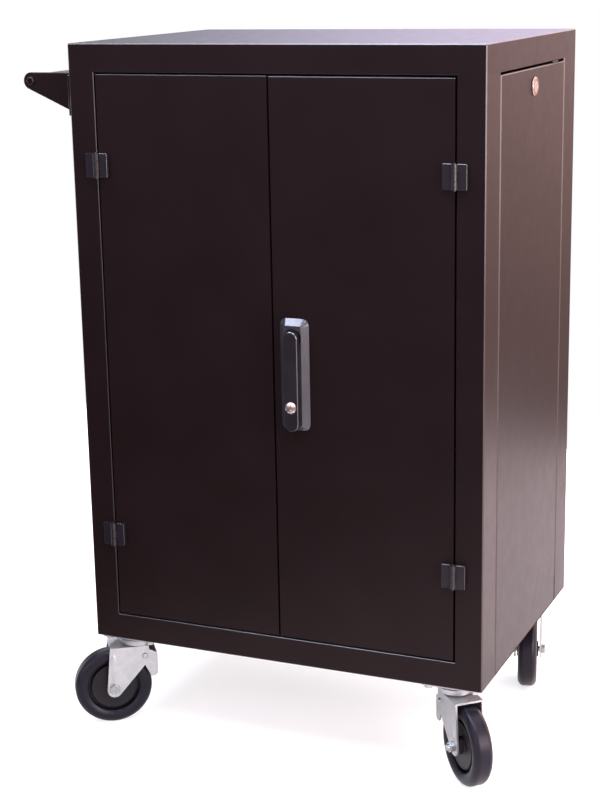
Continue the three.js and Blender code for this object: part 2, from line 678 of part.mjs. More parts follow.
// Caster fork in its own frame: kingpin on the origin's axis, wheel trailing along +X
const AXLE_Z = WHEEL_RADIUS;
const CROWN_LOW = 129;
const CROWN_HIGH = 132;
const CROWN_REAR = 5;
const LEG_LOBE = 12;
const LEG_LOBE_Z = AXLE_Z - 3;
const PEDAL_PIVOT = [-9, 115];
function casterFork(braked) {
  const inner = FORK_GAP / 2;
  const lead = braked ? -16 : -12;
  const leg = outline([
    [TRAIL + CROWN_REAR, CROWN_HIGH],
    [lead, CROWN_HIGH],
    [lead, 107],
    ...arc(TRAIL, LEG_LOBE_Z, LEG_LOBE, 218, 360, 8),
  ]);
  const legs = [-1, 1].map((side) => {
    return frontPlate(leg, side > 0 ? inner + FORK_SHEET : -inner, FORK_SHEET);
  });
  const crown = floorPlate(
    outline([
      ...arc(0, 0, inner + FORK_SHEET, 110, 250, 8),
      [TRAIL + CROWN_REAR, -inner - FORK_SHEET],
      [TRAIL + CROWN_REAR, inner + FORK_SHEET],
    ]),
    CROWN_LOW, CROWN_HIGH - CROWN_LOW,
  );
  const race = turned("z", [
    [0, CROWN_HIGH - 1],
    [22, CROWN_HIGH - 1],
    [26, CROWN_HIGH + 2],
    [26, CROWN_HIGH + 5.5],
    [0, CROWN_HIGH + 5.5],
  ], 20, 0, 0);
  const cuts = [
    rod("z", 6.75, CROWN_LOW - 1, CROWN_HIGH + 8, 0, 0, 16),
    rod("y", 5.25, -40, 40, TRAIL, AXLE_Z, 16),
  ];
  if (braked) cuts.push(rod("y", 3.5, -40, 40, PEDAL_PIVOT[0], PEDAL_PIVOT[1], 12));
  return cut(join(crown, ...legs, race), ...cuts);
}

function casterAxle() {
  const outer = FORK_GAP / 2 + FORK_SHEET + SEAM;
  return join(
    rod("y", 5, -outer - 12, outer + 1, TRAIL, AXLE_Z, 16),
    hexagon("y", 15, outer, outer + 6, TRAIL, AXLE_Z),
    hexagon("y", 15, -outer - 8, -outer, TRAIL, AXLE_Z),
  );
}

// Tyre and hub are turned with a flat facing straight down, so that the wheels stand on flats
const TYRE_SIDES = 36;
const HUB_SIDES = 20;
function wheelLathe(profile, sides, scale) {
  const points = profile.map(([radius, station]) => new THREE.Vector2(radius * scale, station));
  const geometry = new THREE.LatheGeometry(points, sides);
  return geometry.rotateY(Math.PI / sides).translate(TRAIL, 0, AXLE_Z);
}

function tyre() {
  const half = WHEEL_WIDTH / 2;
  return wheelLathe([
    [42, -half + 3],
    [WHEEL_RADIUS - 14, -half],
    [WHEEL_RADIUS - 5, -half + 1],
    [WHEEL_RADIUS, -half + 7],
    [WHEEL_RADIUS, half - 7],
    [WHEEL_RADIUS - 5, half - 1],
    [WHEEL_RADIUS - 14, half],
    [42, half - 3],
    [42, -half + 3],
  ], TYRE_SIDES, 1 / Math.cos(Math.PI / TYRE_SIDES));
}

function wheelHub() {
  return wheelLathe([
    [5.5, -18],
    [13, -18],
    [13, -11],
    [35, -10],
    [38, -13],
    [41.7, -13],
    [41.7, 13],
    [38, 13],
    [35, 10],
    [13, 11],
    [13, 18],
    [5.5, 18],
    [5.5, -18],
  ], HUB_SIDES, 1);
}

// Brake pedal: stirrup between the fork's legs with a tread plate in front and a shoe over the tyre
const PEDAL_FRONT = -30;
const PEDAL_LOW = 77;
const PEDAL_SHEET = 2.5;
function brakePedal() {
  const outer = FORK_GAP / 2 - 0.5;
  const inner = outer - PEDAL_SHEET;
  const pinEnd = FORK_GAP / 2 + FORK_SHEET + 3;
  const cheek = outline([
    [-3, 124],
    [-16, 124],
    [PEDAL_FRONT, 116],
    [PEDAL_FRONT, PEDAL_LOW + 5],
    [PEDAL_FRONT + 4, PEDAL_LOW],
    [PEDAL_FRONT + 11, PEDAL_LOW],
    [-3, 110],
  ]);
  const cheeks = [-1, 1].map((side) => frontPlate(cheek, side > 0 ? outer : -inner, PEDAL_SHEET));
  return join(
    ...cheeks,
    block(PEDAL_FRONT, PEDAL_FRONT + PEDAL_SHEET, -outer, outer, PEDAL_LOW + 5, 116),
    block(PEDAL_FRONT + 2, -20, -12, 12, 93, 97),
    rod("y", 3, -pinEnd, pinEnd, PEDAL_PIVOT[0], PEDAL_PIVOT[1], 12),
  );
}

// Assembly
const cart = new THREE.Group();
cart.name = "laptop_charging_cart";

place(cart, "top_cover", topCover(), paint);
place(cart, "base_pan", basePan(), paint);
place(cart, "post_front_left", cornerPost(-1, -1), paint);
place(cart, "post_front_right", cornerPost(1, -1), paint);
place(cart, "post_rear_left", cornerPost(-1, 1), paint);
place(cart, "post_rear_right", cornerPost(1, 1), paint);
place(cart, "back_panel", backPanel(), paint);
place(cart, "left_side_panel", sidePanel(-1), paint);
place(cart, "right_side_panel", cut(
  sidePanel(1),
  rod("x", 10.25, HALF_W - 5, HALF_W + 1, 0, PANEL_LOCK_Z),
), paint);
place(cart, "panel_lock_body", panelLockBody(), chrome);
place(cart, "panel_lock_cam", panelLockCam(), steel);

place(cart, "left_door", leftDoor(), paint);
place(cart, "right_door", rightDoor(), paint);
place(cart, "left_door_bolt", leftDoorBolt(), zinc);
const hingeRows = { lower: OPEN_LOW + HINGE_INSET, upper: OPEN_HIGH - HINGE_INSET };
for (const [sideName, side] of [["left", -1], ["right", 1]]) {
  for (const [rowName, z] of Object.entries(hingeRows)) {
    place(cart, `hinge_frame_leaf_${sideName}_${rowName}`, hingeLeaf(side, false, z), blackMetal);
    place(cart, `hinge_door_leaf_${sideName}_${rowName}`, hingeLeaf(side, true, z), blackMetal);
  }
}

place(cart, "handle_housing", handleHousing(), blackPlastic);
place(cart, "handle_spindle", handleSpindle(), blackMetal);
place(cart, "handle_lever", handleLever(), blackMetal);
place(cart, "lock_plug", lockPlug(), chrome);
place(cart, "latch_cam", latchCam(), zinc);
place(cart, "upper_latch_rod", latchRod(UPPER_ROD_X, SPINDLE_Z + STUD, DOOR_HIGH - 0.5), zinc);
place(cart, "lower_latch_rod", latchRod(LOWER_ROD_X, SPINDLE_Z - STUD, DOOR_LOW + 0.5), zinc);

place(cart, "push_handle_bracket_front", handleBracket(-1), paint);
place(cart, "push_handle_bracket_rear", handleBracket(1), paint);
place(cart, "push_handle_tube", gripTube(), paint);

const lowerTrayDrop = LOWER_TRAY_Z - UNDERSIDE - SHEET - SEAM;
place(cart, "lower_laptop_tray", laptopTray(LOWER_TRAY_Z, lowerTrayDrop), innerPaint);
place(cart, "upper_laptop_tray", laptopTray(UPPER_TRAY_Z, 24), innerPaint);
place(cart, "power_partition", partition(), innerPaint);
place(cart, "power_strip", powerStrip(), blackPlastic);
place(cart, "power_inlet", powerInlet(), blackPlastic);
place(cart, "power_switch", powerSwitch(), blackPlastic);

for (const [name, turn] of Object.entries(CASTER_TURN)) {
  const x = (name.endsWith("left") ? -1 : 1) * (HALF_W - KINGPIN_INSET_X);
  const y = (name.startsWith("front") ? -1 : 1) * (HALF_D - KINGPIN_INSET_Y);
  const braked = name.startsWith("front");
  place(cart, `caster_plate_${name}`, casterPlate(x, y), zinc);
  const caster = new THREE.Group();
  caster.position.set(x, y, 0);
  caster.rotation.z = THREE.MathUtils.degToRad(turn);
  cart.add(caster);
  place(caster, `caster_fork_${name}`, casterFork(braked), zinc);
  place(caster, `caster_axle_${name}`, casterAxle(), steel);
  place(caster, `tyre_${name}`, tyre(), rubber);
  place(caster, `wheel_hub_${name}`, wheelHub(), hubPlastic);
  if (braked) place(caster, `brake_pedal_${name}`, brakePedal(), zinc);
}

// The origin is the middle of the whole cart's footprint, on the floor
cart.updateMatrixWorld(true);
const bounds = new THREE.Box3().setFromObject(cart, true);
const middle = bounds.getCenter(new THREE.Vector3());
cart.position.set(-middle.x, -middle.y, 0);

export default cart;
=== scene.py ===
"""Looks of a dark steel laptop charging cart on swivel casters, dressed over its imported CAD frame.

Each visible piece is a CAD node's mesh with its edges rounded and a finish, or a turned or boxed shape
placed from the frame's joints and boxes. Lengths are metres unless a comment says millimetres.
"""

import json
import math

import bmesh
import bpy
from mathutils import Matrix, Vector

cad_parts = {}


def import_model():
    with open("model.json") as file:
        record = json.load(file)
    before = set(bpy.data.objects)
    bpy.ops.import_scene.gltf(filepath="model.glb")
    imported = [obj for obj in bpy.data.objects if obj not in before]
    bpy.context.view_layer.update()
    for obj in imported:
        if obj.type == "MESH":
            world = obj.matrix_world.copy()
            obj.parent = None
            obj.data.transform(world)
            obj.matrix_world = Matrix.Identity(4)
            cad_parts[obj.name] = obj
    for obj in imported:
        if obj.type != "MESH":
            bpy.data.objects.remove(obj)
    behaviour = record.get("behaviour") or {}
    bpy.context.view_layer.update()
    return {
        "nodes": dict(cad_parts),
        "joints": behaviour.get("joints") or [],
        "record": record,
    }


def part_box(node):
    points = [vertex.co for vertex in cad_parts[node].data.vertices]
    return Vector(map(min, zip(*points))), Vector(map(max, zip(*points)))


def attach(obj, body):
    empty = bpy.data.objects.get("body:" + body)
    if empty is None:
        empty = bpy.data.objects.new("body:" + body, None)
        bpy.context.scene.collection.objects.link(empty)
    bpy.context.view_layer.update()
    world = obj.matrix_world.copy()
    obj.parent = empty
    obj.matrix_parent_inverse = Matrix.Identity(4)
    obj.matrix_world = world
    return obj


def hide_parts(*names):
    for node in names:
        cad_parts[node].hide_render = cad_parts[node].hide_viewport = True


MM = 0.001

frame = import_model()
nodes = frame["nodes"]
record = frame["record"]
body_of_node = {
    node: body for body, members in record["behaviour"]["bodies"].items() for node in members
}
slot_of_node = {part["node"]: part["material_slot"] for part in record["subparts"]}
joints = {joint["name"]: joint for joint in frame["joints"]}

# Places read from the frame
TOP_LOW, TOP_HIGH = (Vector(corner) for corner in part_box("top_cover"))
BASE_LOW, BASE_HIGH = (Vector(corner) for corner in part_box("base_pan"))
CENTRE = Vector(((TOP_LOW.x + TOP_HIGH.x) / 2, (TOP_LOW.y + TOP_HIGH.y) / 2, 0))
HALF_WIDTH = (TOP_HIGH.x - TOP_LOW.x) / 2
HALF_DEPTH = (TOP_HIGH.y - TOP_LOW.y) / 2
CABINET_HEIGHT = TOP_HIGH.z - BASE_LOW.z

# Camera of the photograph, in cabinet heights from the centre of the cabinet's underside
CAMERA_PLACE = Vector((1.0887, -2.6473, 1.1212))
CAMERA_YAW = 0.4110
CAMERA_PITCH = 0.2536
CAMERA_ROLL = -0.0194
CAMERA_FOCAL_PX = 1716.73
CAMERA_FAR = 100
IMAGE_HEIGHT_PX = 809
SENSOR_MM = 36.0

# Working tolerances for picking and cutting meshes
CUT = 1e-6
WELD = 2e-6
ON_PLANE = 1e-5
NEAR_LEG = 2e-5
NEAR_LEVER = 1e-4
NEAR_LEAF = 2e-4
SAME_PLANE_ANGLE = 0.6
CORNER_ANGLE = 32
LARGE_FACE = 150 * MM * MM
FACE_AREA_WEIGHT = 100

# Cabinet: material indices after the paint (bends in lighter paints as painted highlight, post sides as
# painted light), and the window edges by part with a chamfer and an index
BEND, DOOR_BEND, PANEL_BEND, SILL_BEND, POST = range(1, 6)
POST_WIDTH = 42 * MM
POST_DEPTH = 65 * MM
WELD_SEAM = 0.5 * MM
OUTER_CHAMFER = 2.2 * MM
WINDOW_EDGES = (
    ("level", 1.2 * MM, SILL_BEND),
    ("door_side", 0.8 * MM, DOOR_BEND),
    ("panel_side", 1.9 * MM, PANEL_BEND),
)
DOOR_ROLLS = (("left_door", 0.7 * MM), ("right_door", 1.5 * MM))
DOOR_SIDE_RADIUS = 0.5 * MM
DOOR_UPRIGHT = 0.5
PANEL_CHAMFER = 2.6 * MM

# Hinges with their material indices after the paint (a lighter paint on the front chamfers as painted
# highlight, then the barrel), lock and handles
HINGE_HIGHLIGHT, HINGE_ROLL = range(1, 3)
HINGE_CHAMFER = 2.8 * MM
HINGE_BARREL_PROUD = 0.2 * MM
HINGE_SMOOTH = 25
PLUG_CROWN = 1.3 * MM
PLUG_CUTS = 6
TURNED_SMOOTH = 40
HOUSING_FOOT = 2.5 * MM
HOUSING_SHORT_EDGE = 4 * MM
HOUSING_ROUND = 1.6 * MM
LEVER_CHAMFER = 3.4 * MM
SCREW_RADIUS = 6.5 * MM
SCREW_MARGIN = 0.2 * MM
SCREW_ROUND = 1.8 * MM
SOCKET_RIM = 1.6 * MM
SOCKET_DISH = 0.2 * MM
SOCKET_TAPER = 0.2 * MM
SOCKET_DEPTH = 1.8 * MM
BRACKET_CHAMFER = 0.8 * MM
BRACKET_SHORT_EDGE = 2.5 * MM

# Power strip and inlet: outlets stand in a row, in millimetres up the strip. Slots are (x, half height,
# lift) from an outlet's middle, and pins are (x, lift) from the inlet's middle.
OUTLETS = 6
OUTLET_FIRST = 62
OUTLET_PITCH = 85
OUTLET_HALF = (0.017, 0.018)
OUTLET_PROUD = 0.0008
OUTLET_SUNK = 0.001
OUTLET_SLOTS = ((-0.0065, 0.0035, 0.004), (0.0065, 0.004, 0.004), (0.0, 0.0025, -0.009))
SLOT_HALF = 0.0011
SLOT_PROUD = 0.0010
SLOT_SUNK = 0.0002
INLET_PINS = ((-0.0145, -0.002), (-0.0075, 0.003), (-0.0005, -0.002))
PIN_ROOT = 0.0195
PIN_LOW = Vector((0.001, 0.0005, 0.002))
PIN_HIGH = Vector((0.001, 0.012, 0.002))

# Casters: sections are (radius, station) in millimetres, and the tyre's and the hub's are mirrored
CORNERS = ("front_left", "front_right", "rear_left", "rear_right")
TYRE_HALF_SECTION = (
    (42.0, 4.0), (42.0, 11.2), (42.5, 12.4), (44.0, 13.6), (47.0, 15.0), (49.6, 15.7), (51.6, 15.9),
    (54.5, 15.5), (57.6, 14.1), (60.2, 11.9), (61.6, 9.9), (62.3, 8.2), (62.5, 7.0),
)
HUB_HALF_SECTION = (
    (5.6, 18.0), (12.0, 18.0), (13.0, 17.2), (13.4, 12.6), (15.0, 11.6), (33.0, 11.0), (35.4, 11.6),
    (36.6, 11.0), (37.2, 9.0), (37.4, 4.0), (41.7, 4.0),
)
HUB_SMOOTH = 28
PIN_HEAD_SECTION = ((0.05, 0.0), (4.6, 0.0), (4.4, 0.8), (3.4, 1.6), (1.8, 2.0), (0.05, 2.1))
PIN_HEAD_SEGMENTS = 24
PIN_HEAD_SMOOTH = 50
PIN_HEAD_GAP = 0.1 * MM
FORK_HALF = 23.0 * MM
FORK_SHOULDER = 3.0 * MM
FORK_SHOULDER_LOW = 0.06
FORK_CHAMFER = 0.4 * MM
FORK_CORNER_ANGLE = 50
FORK_SMOOTH = 40
LEG_TOP = 0.0655
LEG_SHORT_EDGE = 1.0 * MM

# Rib on a fork leg: rows are (height over the axle, half width in millimetres), and the section across a
# row is (share of the half width, share of the rise). Rows narrower than RIB_FULL_RISE rise less.
RIB_ROWS = ((0.058, 1.2), (0.054, 4.0), (0.048, 5.5), (0.022, 5.0), (0.015, 3.4), (0.012, 1.0))
RIB_SECTION = ((-1.0, 0.0), (-0.72, 0.75), (0.0, 1.0), (0.72, 0.75), (1.0, 0.0))
RIB_RISE = 1.3 * MM
RIB_SUNK = 0.2 * MM
RIB_FULL_RISE = 4.0

# The floor's outline leaves out the ground ahead of the left corner, which the front would mirror
FLOOR_OUTLINE = ((-2.2, -0.35), (-0.55, -0.35), (0.1, -1.1), (2.8, -1.1), (2.8, 1.6), (-2.2, 1.6))


def add_camera():
    forward = Vector((
        -math.sin(CAMERA_YAW) * math.cos(CAMERA_PITCH),
        math.cos(CAMERA_YAW) * math.cos(CAMERA_PITCH),
        -math.sin(CAMERA_PITCH),
    ))
    level = Vector((math.cos(CAMERA_YAW), math.sin(CAMERA_YAW), 0))
    upright = level.cross(forward)
    right = math.cos(CAMERA_ROLL) * level + math.sin(CAMERA_ROLL) * upright
    up = math.cos(CAMERA_ROLL) * upright - math.sin(CAMERA_ROLL) * level
    data = bpy.data.cameras.new("photo_camera")
    data.sensor_width = SENSOR_MM
    data.lens = CAMERA_FOCAL_PX / IMAGE_HEIGHT_PX * SENSOR_MM
    data.clip_end = CAMERA_FAR
    camera = bpy.data.objects.new("photo_camera", data)
    place = CENTRE + Vector((0, 0, BASE_LOW.z)) + CAMERA_PLACE * CABINET_HEIGHT
    turn = Matrix((right, up, -forward)).transposed().to_4x4()
    camera.matrix_world = Matrix.Translation(place) @ turn
    bpy.context.scene.collection.objects.link(camera)
    bpy.context.scene.camera = camera


class Material:
    """A principled material with short calls for the textures that feed it."""

    def __init__(self, name):
        self.material = bpy.data.materials.new(name)
        self.material.use_nodes = True
        self.tree = self.material.node_tree
        self.shader = self.tree.nodes["Principled BSDF"]
        self.place = self.tree.nodes.new("ShaderNodeTexCoord").outputs["Object"]

    def set(self, **values):
        for name, value in values.items():
            self.shader.inputs[name.replace("_", " ")].default_value = value

    def noise(self, scale, detail=2.0, roughness=0.5, stretch=None):
        source = self.place
        if stretch is not None:
            mapping = self.tree.nodes.new("ShaderNodeMapping")
            mapping.inputs["Scale"].default_value = stretch
            self.tree.links.new(source, mapping.inputs["Vector"])
            source = mapping.outputs["Vector"]
        node = self.tree.nodes.new("ShaderNodeTexNoise")
        node.inputs["Scale"].default_value = scale
        node.inputs["Detail"].default_value = detail
        node.inputs["Roughness"].default_value = roughness
        self.tree.links.new(source, node.inputs["Vector"])
        return node.outputs["Fac"]

    def cells(self, scale):
        node = self.tree.nodes.new("ShaderNodeTexVoronoi")
        node.inputs["Scale"].default_value = scale
        self.tree.links.new(self.place, node.inputs["Vector"])
        return node.outputs["Distance"]

    def ramp(self, value, *stops):
        node = self.tree.nodes.new("ShaderNodeValToRGB")
        for element, (position, colour) in zip(node.color_ramp.elements, stops):
            element.position = position
            element.color = (*colour, 1)
        self.tree.links.new(value, node.inputs["Fac"])
        return node.outputs["Color"]

    def range(self, value, low, high):
        node = self.tree.nodes.new("ShaderNodeMapRange")
        node.inputs["To Min"].default_value = low
        node.inputs["To Max"].default_value = high
        self.tree.links.new(value, node.inputs["Value"])
        return node.outputs["Result"]

    def feed(self, socket, value):
        self.tree.links.new(value, self.shader.inputs[socket])

    def bump(self, height, distance, strength):
        node = self.tree.nodes.new("ShaderNodeBump")
        node.inputs["Distance"].default_value = distance
        node.inputs["Strength"].default_value = strength
        self.tree.links.new(height, node.inputs["Height"])
        self.feed("Normal", node.outputs["Normal"])


def powder_coat(name, dark, light, rough=(0.34, 0.44), specular=0.11, tint=(1.0, 0.85, 0.86)):
    """Satin powder coat: slow colour drift, fine orange peel and a little dust in the roughness."""
    m = Material(name)
    m.feed("Base Color", m.ramp(m.noise(scale=9, detail=4), (0.3, dark), (0.7, light)))
    m.feed("Roughness", m.range(m.noise(scale=46, detail=5, roughness=0.6), *rough))
    m.set(Specular_IOR_Level=specular, Specular_Tint=(*tint, 1))
    m.bump(m.noise(scale=900, roughness=0.4), distance=0.00006, strength=0.35)
    return m.material


def zinc_plate(name, tone=0.36, rough=(0.26, 0.44)):
    """Bright zinc plate: metal with a faint cool and warm mottle and rolling marks."""
    m = Material(name)
    cool = (tone * 0.87, tone * 0.90, tone * 0.95)
    warm = (tone * 1.06, tone * 1.05, tone * 1.03)
    mottle = m.noise(scale=75, detail=4, roughness=0.6)
    m.feed("Base Color", m.ramp(mottle, (0.35, cool), (0.68, warm)))
    m.feed("Roughness", m.range(m.noise(scale=140, detail=4, roughness=0.6), *rough))
    m.set(Metallic=0.80)
    m.bump(m.noise(scale=500, stretch=(1, 1, 0.15)), distance=0.00004, strength=0.5)
    return m.material


def tyre_rubber(name):
    """Dark grey tread rubber, slightly dusty, with a fine moulded grain."""
    m = Material(name)
    dust = m.noise(scale=70, detail=5, roughness=0.6)
    dark, light = (0.0030, 0.0025, 0.0046), (0.0058, 0.0049, 0.0086)
    m.feed("Base Color", m.ramp(dust, (0.3, dark), (0.75, light)))
    m.feed("Roughness", m.range(m.noise(scale=120, detail=4), 0.30, 0.44))
    m.set(Specular_IOR_Level=0.18, Specular_Tint=(0.90, 0.87, 1.0, 1))
    m.bump(m.noise(scale=1500), distance=0.00008, strength=0.4)
    return m.material


def moulded_plastic(name, dark, light, rough, specular, tint=(1.0, 1.0, 1.0)):
    """Moulded plastic or die-cast enamel with a fine spark-eroded grain."""
    m = Material(name)
    m.feed("Base Color", m.ramp(m.noise(scale=30, detail=3), (0.35, dark), (0.65, light)))
    m.feed("Roughness", m.range(m.noise(scale=90, detail=4), *rough))
    m.set(Specular_IOR_Level=specular, Specular_Tint=(*tint, 1))
    m.bump(m.cells(scale=1400), distance=0.00002, strength=0.15)
    return m.material


def polished_metal(name, low, high, rough):
    """Plated lock face, cloudy and worn soft."""
    m = Material(name)
    m.feed("Base Color", m.ramp(m.noise(scale=220, detail=3), (0.3, low), (0.7, high)))
    m.feed("Roughness", m.range(m.noise(scale=400, detail=3), *rough))
    m.set(Metallic=1.0)
    m.bump(m.noise(scale=900), distance=0.00003, strength=0.4)
    return m.material


# Finishes of the CAD slots
finish = {
    "cabinet_paint": powder_coat(
        "satin_brown_black", (0.0052, 0.0028, 0.0030), (0.0068, 0.0038, 0.0041),
    ),
    "inner_paint": powder_coat(
        "satin_inner_black", (0.020, 0.017, 0.018), (0.026, 0.022, 0.023), rough=(0.42, 0.52),
    ),
    "black_metal": moulded_plastic(
        "black_enamel", (0.0070, 0.0058, 0.0078), (0.0100, 0.0085, 0.0110),
        rough=(0.30, 0.42), specular=0.2,
    ),
    "black_plastic": moulded_plastic(
        "black_moulding", (0.012, 0.012, 0.015), (0.018, 0.018, 0.022),
        rough=(0.26, 0.36), specular=0.68, tint=(0.98, 0.93, 1.0),
    ),
    "lock_metal": polished_metal(
        "nickel_lock_face", (0.84, 0.66, 0.56), (0.98, 0.84, 0.76), rough=(0.24, 0.38),
    ),
    "zinc_plate": zinc_plate("bright_zinc"),
    "tyre_rubber": tyre_rubber("tread_rubber"),
    "hub_plastic": moulded_plastic(
        "wheel_centre", (0.0036, 0.0026, 0.0040), (0.0060, 0.0046, 0.0066),
        rough=(0.38, 0.5), specular=0.18,
    ),
}

# Lighter, glossier paints for rounded edges by slot, whose lighter colour is a painted highlight along
# the bends, and finishes of single places
edge_highlight_finish = {
    "cabinet_paint": powder_coat(
        "bend_painted_highlight", (0.016, 0.010, 0.009), (0.026, 0.017, 0.015),
        rough=(0.24, 0.34), specular=0.46, tint=(1.0, 0.94, 0.97),
    ),
    "black_metal": moulded_plastic(
        "enamel_edge_painted_highlight", (0.018, 0.016, 0.020), (0.028, 0.025, 0.031),
        rough=(0.24, 0.34), specular=0.85, tint=(1.0, 0.95, 0.96),
    ),
}
# Lighter paint on the doors' and brackets' rounded edges, a painted highlight
DOOR_EDGE_HIGHLIGHT = powder_coat(
    "door_bend_painted_highlight", (0.009, 0.008, 0.009), (0.014, 0.012, 0.013),
    rough=(0.28, 0.38), specular=0.34, tint=(0.96, 0.95, 1.0),
)
# Lighter, warmer paint on the side panels' chamfers and window sides, a painted highlight
PANEL_EDGE_HIGHLIGHT = powder_coat(
    "panel_bend_painted_highlight", (0.018, 0.010, 0.008), (0.028, 0.017, 0.014),
    rough=(0.28, 0.38), specular=0.5, tint=(1.0, 0.86, 0.82),
)
# Lighter, bluish paint on the level window edges, a painted highlight
SILL_EDGE_HIGHLIGHT = powder_coat(
    "sill_bend_painted_highlight", (0.014, 0.012, 0.014), (0.022, 0.020, 0.024),
    rough=(0.24, 0.34), specular=0.75, tint=(0.92, 0.95, 1.0),
)
# A copy of the cabinet paint, a touch lighter, with a stronger and redder reflection, for the front
# posts' sides: painted light
POST_LIT_PAINT = powder_coat(
    "post_brown_black_painted_light", (0.0054, 0.0028, 0.0030), (0.0070, 0.0038, 0.0041),
    specular=0.132, tint=(1.0, 0.81, 0.80),
)
HINGE_PAINT = powder_coat(
    "hinge_enamel", (0.0078, 0.0064, 0.0088), (0.0110, 0.0093, 0.0121),
    rough=(0.26, 0.36), specular=0.21, tint=(0.97, 0.93, 1.0),
)
# Lighter paint on the hinge leaves' front chamfers, a painted highlight
HINGE_EDGE_HIGHLIGHT = powder_coat(
    "hinge_bend_painted_highlight", (0.020, 0.017, 0.019), (0.030, 0.026, 0.029),
    rough=(0.24, 0.34), specular=0.9, tint=(1.0, 0.94, 0.95),
)
HINGE_BARREL = powder_coat(
    "hinge_barrel", (0.0078, 0.0064, 0.0080), (0.0110, 0.0093, 0.0112),
    rough=(0.24, 0.34), specular=0.45, tint=(1.0, 0.94, 0.96),
)
BOLT_ZINC = zinc_plate("bolt_zinc", tone=0.27, rough=(0.20, 0.32))
LOCK_FACE = polished_metal(
    "bronzed_lock_face", (0.20, 0.13, 0.11), (0.30, 0.20, 0.17), rough=(0.30, 0.42),
)
# A lighter copy of the lock face's metal on its rounded rim, a painted highlight
LOCK_RIM_HIGHLIGHT = polished_metal(
    "lock_rim_painted_highlight", (0.31, 0.22, 0.19), (0.41, 0.30, 0.26), rough=(0.28, 0.40),
)
# Near-black blocks standing in for the outlet slots' openings: painted shade
SLOT_PAINTED_SHADE = moulded_plastic(
    "slot_painted_shade", (0.003, 0.003, 0.003), (0.005, 0.005, 0.005), rough=(0.6, 0.8), specular=0.1,
)


def new_piece(name, builder, body, slot, *materials):
    """Turns a bmesh into a named piece that rides on a body; its slot is not used."""
    bmesh.ops.dissolve_degenerate(builder, dist=CUT, edges=builder.edges)
    mesh = bpy.data.meshes.new(name)
    builder.to_mesh(mesh)
    builder.free()
    for material in materials:
        mesh.materials.append(material)
    piece = bpy.data.objects.new(name, mesh)
    bpy.context.scene.collection.objects.link(piece)
    weight = piece.modifiers.new("flat_faces_stay_flat", "WEIGHTED_NORMAL")
    weight.weight = FACE_AREA_WEIGHT
    weight.keep_sharp = True
    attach(piece, body)
    return piece


def node_piece(name, builder, *materials):
    """A piece that stands in for one CAD node, on that node's body."""
    piece = new_piece(f"{name}_finish", builder, body_of_node[name], slot_of_node[name], *materials)
    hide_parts(name)


def node_mesh(*names):
    """The welded meshes of CAD nodes in one bmesh, with flat areas as single faces."""
    builder = bmesh.new()
    for name in names:
        builder.from_mesh(nodes[name].data)
    bmesh.ops.remove_doubles(builder, verts=builder.verts, dist=WELD)
    bmesh.ops.dissolve_limit(
        builder, angle_limit=math.radians(SAME_PLANE_ANGLE), verts=builder.verts, edges=builder.edges,
    )
    return builder


def smooth(builder, angle=CORNER_ANGLE):
    """Smooth faces with sharp edges kept where faces meet at more than the angle."""
    limit = math.radians(angle)
    for face in builder.faces:
        face.smooth = True
    for edge in builder.edges:
        edge.smooth = len(edge.link_faces) == 2 and edge.calc_face_angle(math.pi) < limit


def keep_flat(builder):
    """Large sheet faces stay flat, so that only their edges shade softly."""
    for face in builder.faces:
        if face.calc_area() > LARGE_FACE:
            face.smooth = False


def corner_edges(builder, angle=CORNER_ANGLE):
    limit = math.radians(angle)
    return [e for e in builder.edges if len(e.link_faces) == 2 and e.calc_face_angle(0) > limit]


def round_edges(builder, edges, radius, segments=2, material=0):
    if edges:
        bmesh.ops.bevel(
            builder, geom=edges, offset=radius, segments=segments, profile=0.5,
            affect="EDGES", clamp_overlap=True, material=material,
        )


def cut_through(builder, point, normal):
    """Adds edges where a plane crosses the mesh, and removes nothing."""
    geometry = list(builder.verts) + list(builder.edges) + list(builder.faces)
    bmesh.ops.bisect_plane(builder, geom=geometry, plane_co=point, plane_no=normal, dist=CUT)


def dress(name, radius, segments=2, material=None, chosen=None, edge=None, sheet=False):
    """A CAD node with its corners, or the chosen ones, rounded and given its slot's finish; the rounds
    take a lighter edge paint, a painted highlight, where the slot or the call gives one.
    """
    builder = node_mesh(name)
    edges = [e for e in corner_edges(builder) if chosen is None or chosen(e)]
    slot = slot_of_node[name]
    edge = edge or edge_highlight_finish.get(slot)
    round_edges(builder, edges, radius, segments, 1 if edge else 0)
    smooth(builder)
    if sheet:
        keep_flat(builder)
    node_piece(name, builder, *[m for m in (material or finish[slot], edge) if m is not None])


def turn_shape(builder, section, place, segments=96):
    """Adds a closed section of (radius, station) in millimetres, turned about the place's Y axis."""
    rings = []
    for i in range(segments):
        angle = 2 * math.pi * i / segments
        across, up = math.cos(angle) * MM, math.sin(angle) * MM
        rings.append([
            builder.verts.new(place @ Vector((r * across, y * MM, r * up))) for r, y in section
        ])
    for i, here in enumerate(rings):
        there = rings[(i + 1) % segments]
        for j in range(len(section)):
            k = (j + 1) % len(section)
            builder.faces.new((here[j], here[k], there[k], there[j]))
    bmesh.ops.recalc_face_normals(builder, faces=builder.faces)


def axis_frame(joint_name, side=1, along=0.0):
    """A place whose Y axis lies on a joint's axis, to either side, some way along from the joint."""
    joint = joints[joint_name]
    axis = Vector(joint["axis"]).normalized() * side
    turn = Vector((0, 1, 0)).rotation_difference(axis).to_matrix().to_4x4()
    return Matrix.Translation(Vector(joint["pos_m"]) + axis * along) @ turn


